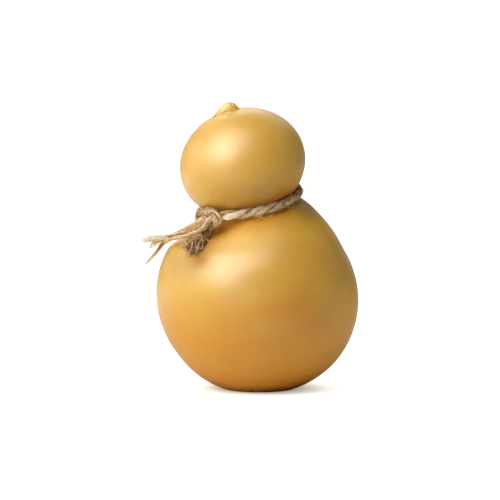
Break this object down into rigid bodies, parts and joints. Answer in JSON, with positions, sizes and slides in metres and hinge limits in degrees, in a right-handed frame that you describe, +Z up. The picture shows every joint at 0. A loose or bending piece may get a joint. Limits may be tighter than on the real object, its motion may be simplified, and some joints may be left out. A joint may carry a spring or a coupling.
{
  "type": "smoked scamorza",
  "caption": "Small pear-shaped smoked cheese with a round head that leans to one side, tied at its neck with knotted jute twine that ends in a frayed tail and a tuft.",
  "frame": {"origin": "centre of the flat spot that the cheese rests on", "axes": "+Z up; -Y is the front, the side with the knot; +X is to the right seen from the front, and the head leans towards -X and nods towards -Y"},
  "size_m": [0.0817, 0.0768, 0.1091],
  "materials": {
    "smoked_skin": "satin smoked skin, golden straw to orange-brown, a little see-through",
    "jute": "dull natural jute, hairy"
  },
  "bodies": {
    "root": {"cheese": "smoked_skin", "twine": "jute"}
  },
  "joints": []
}
